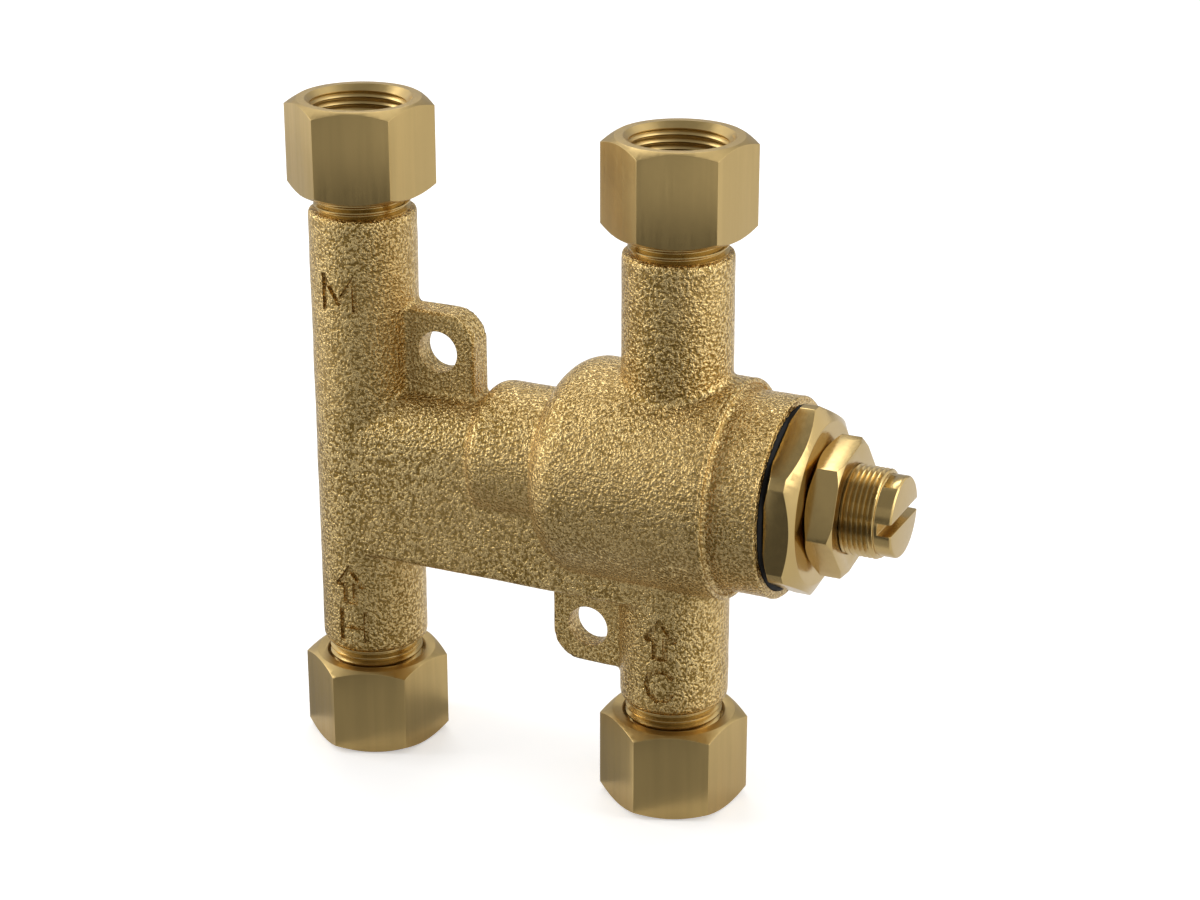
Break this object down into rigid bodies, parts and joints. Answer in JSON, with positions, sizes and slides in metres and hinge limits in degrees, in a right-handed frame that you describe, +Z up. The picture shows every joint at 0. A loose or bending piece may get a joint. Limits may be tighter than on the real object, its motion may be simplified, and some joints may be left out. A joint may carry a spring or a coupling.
{
  "type": "thermostatic mixing valve",
  "caption": "Brass water mixing valve for under a basin: threaded ports with union nuts, slotted temperature spindle with lock nut, wall-fixing ears, wax thermostat and check valves inside.",
  "frame": {"origin": "midway between the two wall-fixing holes, on the middle plane of the port columns", "axes": "+X along the barrel from the hot and mixed ports towards the temperature spindle, +Y from the marked front towards the wall, +Z up along the port columns"},
  "size_m": [0.0951, 0.0322, 0.1014],
  "materials": {
    "cast_brass": "sand-cast, grainy",
    "machined_brass": "turned, satin",
    "black_rubber": "matt black",
    "washer_rubber": "matt black",
    "spring_steel": "stainless, satin",
    "white_plastic": "moulded acetal",
    "copper": "satin copper"
  },
  "bodies": {
    "casing": {"valve_body": "cast_brass", "bonnet": "machined_brass", "bonnet_seal": "black_rubber", "return_spring": "spring_steel", "hot_inlet_screen": "spring_steel", "hot_check_cage": "white_plastic", "hot_check_spring": "spring_steel", "cold_inlet_screen": "spring_steel", "cold_check_cage": "white_plastic", "cold_check_spring": "spring_steel"},
    "thrust_cup": {"thrust_cup": "machined_brass", "cup_ring": "spring_steel", "element_rod": "spring_steel", "overload_spring": "spring_steel"},
    "spindle": {"spindle": "machined_brass", "spindle_seal": "black_rubber"},
    "thermostat": {"wax_element": "copper", "shuttle": "white_plastic", "shuttle_seal": "black_rubber"},
    "lock_nut": {"lock_nut": "machined_brass"},
    "hot_poppet": {"hot_check_poppet": "white_plastic"},
    "cold_poppet": {"cold_check_poppet": "white_plastic"},
    "mixed_outlet_washer": {"mixed_outlet_washer": "washer_rubber"},
    "mixed_outlet_nut": {"mixed_outlet_nut": "machined_brass"},
    "hot_inlet_washer": {"hot_inlet_washer": "washer_rubber"},
    "hot_inlet_nut": {"hot_inlet_nut": "machined_brass"},
    "cold_outlet_washer": {"cold_outlet_washer": "washer_rubber"},
    "cold_outlet_nut": {"cold_outlet_nut": "machined_brass"},
    "cold_inlet_washer": {"cold_inlet_washer": "washer_rubber"},
    "cold_inlet_nut": {"cold_inlet_nut": "machined_brass"}
  },
  "joints": [
    {"name": "spindle_turn", "type": "hinge", "parent": "thrust_cup", "child": "spindle", "pos_m": [0.045, 0, 0.0055], "axis": [1, 0, 0], "range_deg": [-360, 360]},
    {"name": "cup_travel", "type": "slide", "parent": "casing", "child": "thrust_cup", "axis": [1, 0, 0], "range_m": [-0.00074, 0.00074], "deforming": ["return_spring"]},
    {"name": "temperature_response", "type": "slide", "parent": "thrust_cup", "child": "thermostat", "axis": [1, 0, 0], "range_m": [-0.0006, 0.0006], "stiffness_N_per_m": 1200, "deforming": ["return_spring"]},
    {"name": "lock_nut_turn", "type": "hinge", "parent": "casing", "child": "lock_nut", "pos_m": [0.05, 0, 0.0055], "axis": [1, 0, 0], "range_deg": [0, 90]},
    {"name": "mixed_outlet_nut_travel", "type": "slide", "parent": "casing", "child": "mixed_outlet_washer", "axis": [0, 0, 1], "range_m": [0, 0.00476]},
    {"name": "mixed_outlet_nut_turn", "type": "hinge", "parent": "mixed_outlet_washer", "child": "mixed_outlet_nut", "pos_m": [-0.02519, 0, 0.048], "axis": [0, 0, 1], "range_deg": [0, 1620]},
    {"name": "hot_inlet_nut_travel", "type": "slide", "parent": "casing", "child": "hot_inlet_washer", "axis": [0, 0, -1], "range_m": [0, 0.00476]},
    {"name": "hot_inlet_nut_turn", "type": "hinge", "parent": "hot_inlet_washer", "child": "hot_inlet_nut", "pos_m": [-0.02519, 0, -0.037], "axis": [0, 0, -1], "range_deg": [0, 1620]},
    {"name": "cold_outlet_nut_travel", "type": "slide", "parent": "casing", "child": "cold_outlet_washer", "axis": [0, 0, 1], "range_m": [0, 0.00476]},
    {"name": "cold_outlet_nut_turn", "type": "hinge", "parent": "cold_outlet_washer", "child": "cold_outlet_nut", "pos_m": [0.02519, 0, 0.048], "axis": [0, 0, 1], "range_deg": [0, 1620]},
    {"name": "cold_inlet_nut_travel", "type": "slide", "parent": "casing", "child": "cold_inlet_washer", "axis": [0, 0, -1], "range_m": [0, 0.00476]},
    {"name": "cold_inlet_nut_turn", "type": "hinge", "parent": "cold_inlet_washer", "child": "cold_inlet_nut", "pos_m": [0.02519, 0, -0.037], "axis": [0, 0, -1], "range_deg": [0, 1620]},
    {"name": "hot_check_opening", "type": "slide", "parent": "casing", "child": "hot_poppet", "axis": [0, 0, 1], "range_m": [0, 0.002], "stiffness_N_per_m": 60, "springref_m": -0.0015, "deforming": ["hot_check_spring"]},
    {"name": "cold_check_opening", "type": "slide", "parent": "casing", "child": "cold_poppet", "axis": [0, 0, 1], "range_m": [0, 0.002], "stiffness_N_per_m": 60, "springref_m": -0.0015, "deforming": ["cold_check_spring"]}
  ],
  "couplings": [
    {"joint": "spindle_turn", "follows": "cup_travel", "rad_per_m": 8377.6},
    {"joint": "mixed_outlet_nut_turn", "follows": "mixed_outlet_nut_travel", "rad_per_m": 5937.1},
    {"joint": "hot_inlet_nut_turn", "follows": "hot_inlet_nut_travel", "rad_per_m": 5937.1},
    {"joint": "cold_outlet_nut_turn", "follows": "cold_outlet_nut_travel", "rad_per_m": 5937.1},
    {"joint": "cold_inlet_nut_turn", "follows": "cold_inlet_nut_travel", "rad_per_m": 5937.1}
  ]
}
